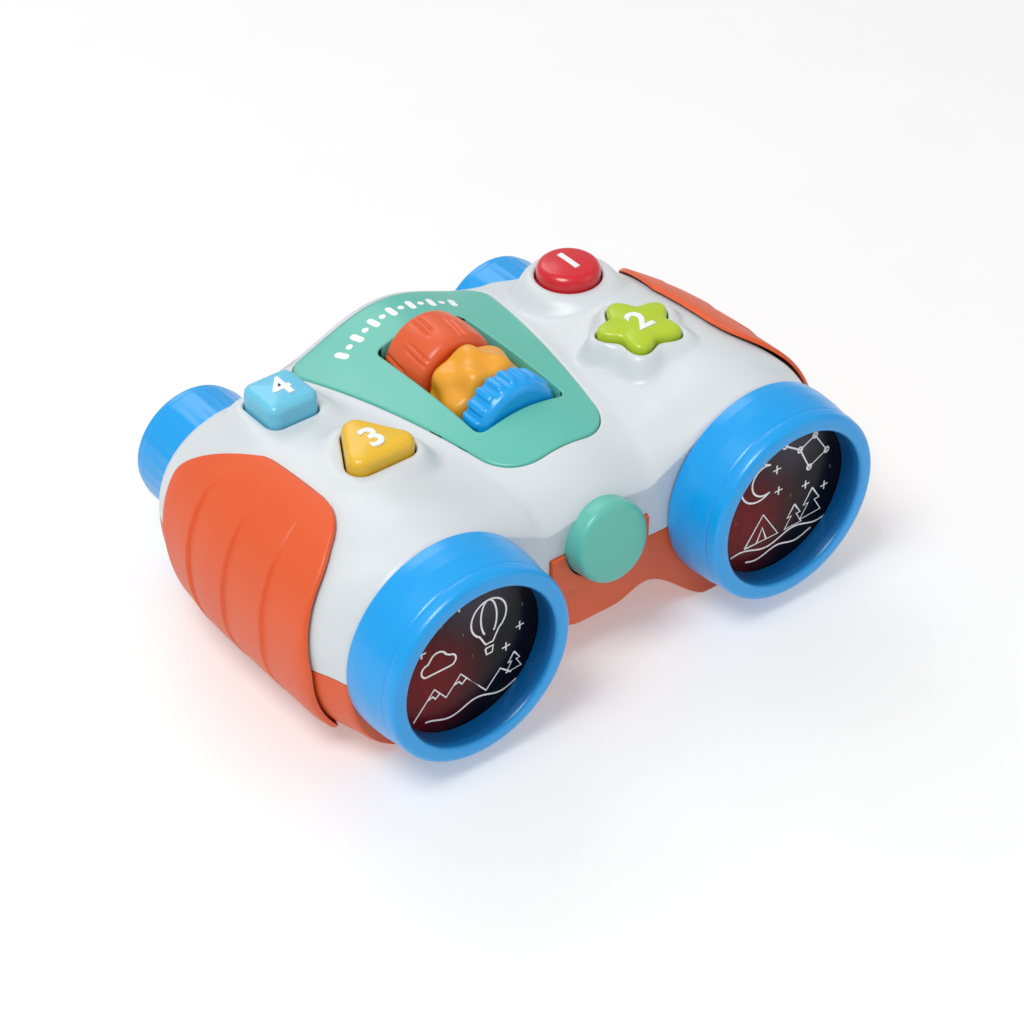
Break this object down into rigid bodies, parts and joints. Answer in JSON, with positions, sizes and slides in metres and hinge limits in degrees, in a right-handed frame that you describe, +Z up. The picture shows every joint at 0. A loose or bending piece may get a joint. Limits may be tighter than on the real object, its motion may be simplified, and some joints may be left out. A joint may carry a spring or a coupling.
{
  "type": "toy binoculars",
  "caption": "Chunky toddler toy binoculars with lit printed lenses, ribbed eyecups, side grips, thumb wheels, shaped push buttons and a front button on a bridged housing.",
  "frame": {"origin": "on the table under the middle of the toy's box", "axes": "+X to the right barrel, +Y towards the eyecups, +Z up; the lenses look along -Y"},
  "size_m": [0.1928, 0.1464, 0.0746],
  "materials": {
    "white_shell": "satin moulded",
    "orange_shell": "satin moulded",
    "teal_plastic": "satin moulded",
    "orange_wheel": "satin moulded",
    "amber_wheel": "satin moulded",
    "blue_plastic": "satin gloss moulded",
    "red_plastic": "gloss moulded",
    "lime_plastic": "gloss moulded",
    "yellow_plastic": "gloss moulded",
    "sky_plastic": "gloss moulded",
    "dome_rubber": "matte",
    "circuit_board": "solder mask",
    "dark_lens": "polished, printed",
    "inner_white": "moulded",
    "dark_plastic": "moulded",
    "clear_lens": "polished clear plastic",
    "steel": "zinc plated",
    "battery_skin": "printed sleeve",
    "contact_metal": "nickel plated"
  },
  "bodies": {
    "housing": {"upper_shell": "white_shell", "lower_shell": "orange_shell", "left_grip": "orange_shell", "right_grip": "orange_shell", "centre_panel": "teal_plastic", "wheel_axle": "steel", "wheel_cradle": "dark_plastic", "red_dome": "dome_rubber", "star_dome": "dome_rubber", "triangle_dome": "dome_rubber", "square_dome": "dome_rubber", "left_button_board": "circuit_board", "right_button_board": "circuit_board", "front_dome": "dome_rubber", "front_board": "circuit_board", "left_objective_ring": "blue_plastic", "right_objective_ring": "blue_plastic", "left_lens": "dark_lens", "right_lens": "dark_lens", "left_lamp_housing": "inner_white", "right_lamp_housing": "inner_white", "left_lamp_board": "circuit_board", "right_lamp_board": "circuit_board", "left_eye_sleeve": "dark_plastic", "right_eye_sleeve": "dark_plastic", "left_eye_lens": "clear_lens", "right_eye_lens": "clear_lens", "main_board": "circuit_board", "speaker": "steel", "speaker_clamp": "dark_plastic", "batteries": "battery_skin", "battery_contacts": "contact_metal", "battery_door": "orange_shell", "door_screw": "steel", "power_switch": "dark_plastic", "shell_screws": "steel"},
    "rear_wheel": {"rear_wheel": "orange_wheel"},
    "middle_wheel": {"middle_wheel": "amber_wheel"},
    "front_wheel": {"front_wheel": "blue_plastic"},
    "red_button": {"red_button": "red_plastic"},
    "star_button": {"star_button": "lime_plastic"},
    "triangle_button": {"triangle_button": "yellow_plastic"},
    "square_button": {"square_button": "sky_plastic"},
    "front_button": {"front_button": "teal_plastic"},
    "left_eyecup": {"left_eyecup": "blue_plastic"},
    "right_eyecup": {"right_eyecup": "blue_plastic"},
    "power_knob": {"power_knob": "dark_plastic"}
  },
  "joints": [
    {"name": "rear_wheel_spin", "type": "hinge", "parent": "housing", "child": "rear_wheel", "pos_m": [0, 0, 0.0596], "axis": [0, 1, 0], "continuous": true},
    {"name": "middle_wheel_spin", "type": "hinge", "parent": "housing", "child": "middle_wheel", "pos_m": [0, 0, 0.0596], "axis": [0, 1, 0], "continuous": true},
    {"name": "front_wheel_spin", "type": "hinge", "parent": "housing", "child": "front_wheel", "pos_m": [0, 0, 0.0596], "axis": [0, 1, 0], "continuous": true},
    {"name": "red_button_push", "type": "slide", "parent": "housing", "child": "red_button", "axis": [0, 0, -1], "range_m": [0, 0.002], "stiffness_N_per_m": 600, "springref_m": -0.0006, "deforming": ["red_dome"]},
    {"name": "star_button_push", "type": "slide", "parent": "housing", "child": "star_button", "axis": [0, 0, -1], "range_m": [0, 0.002], "stiffness_N_per_m": 600, "springref_m": -0.0006, "deforming": ["star_dome"]},
    {"name": "triangle_button_push", "type": "slide", "parent": "housing", "child": "triangle_button", "axis": [0, 0, -1], "range_m": [0, 0.002], "stiffness_N_per_m": 600, "springref_m": -0.0006, "deforming": ["triangle_dome"]},
    {"name": "square_button_push", "type": "slide", "parent": "housing", "child": "square_button", "axis": [0, 0, -1], "range_m": [0, 0.002], "stiffness_N_per_m": 600, "springref_m": -0.0006, "deforming": ["square_dome"]},
    {"name": "front_button_push", "type": "slide", "parent": "housing", "child": "front_button", "axis": [0, 0.9848, -0.1736], "range_m": [0, 0.0022], "stiffness_N_per_m": 600, "springref_m": -0.0006, "deforming": ["front_dome"]},
    {"name": "left_eyecup_twist", "type": "hinge", "parent": "housing", "child": "left_eyecup", "pos_m": [-0.0575, 0.064, 0.0288], "axis": [0, 1, 0], "continuous": true},
    {"name": "right_eyecup_twist", "type": "hinge", "parent": "housing", "child": "right_eyecup", "pos_m": [0.0575, 0.064, 0.0288], "axis": [0, 1, 0], "continuous": true},
    {"name": "power_knob_slide", "type": "slide", "parent": "housing", "child": "power_knob", "axis": [1, 0, 0], "range_m": [0, 0.005]}
  ]
}
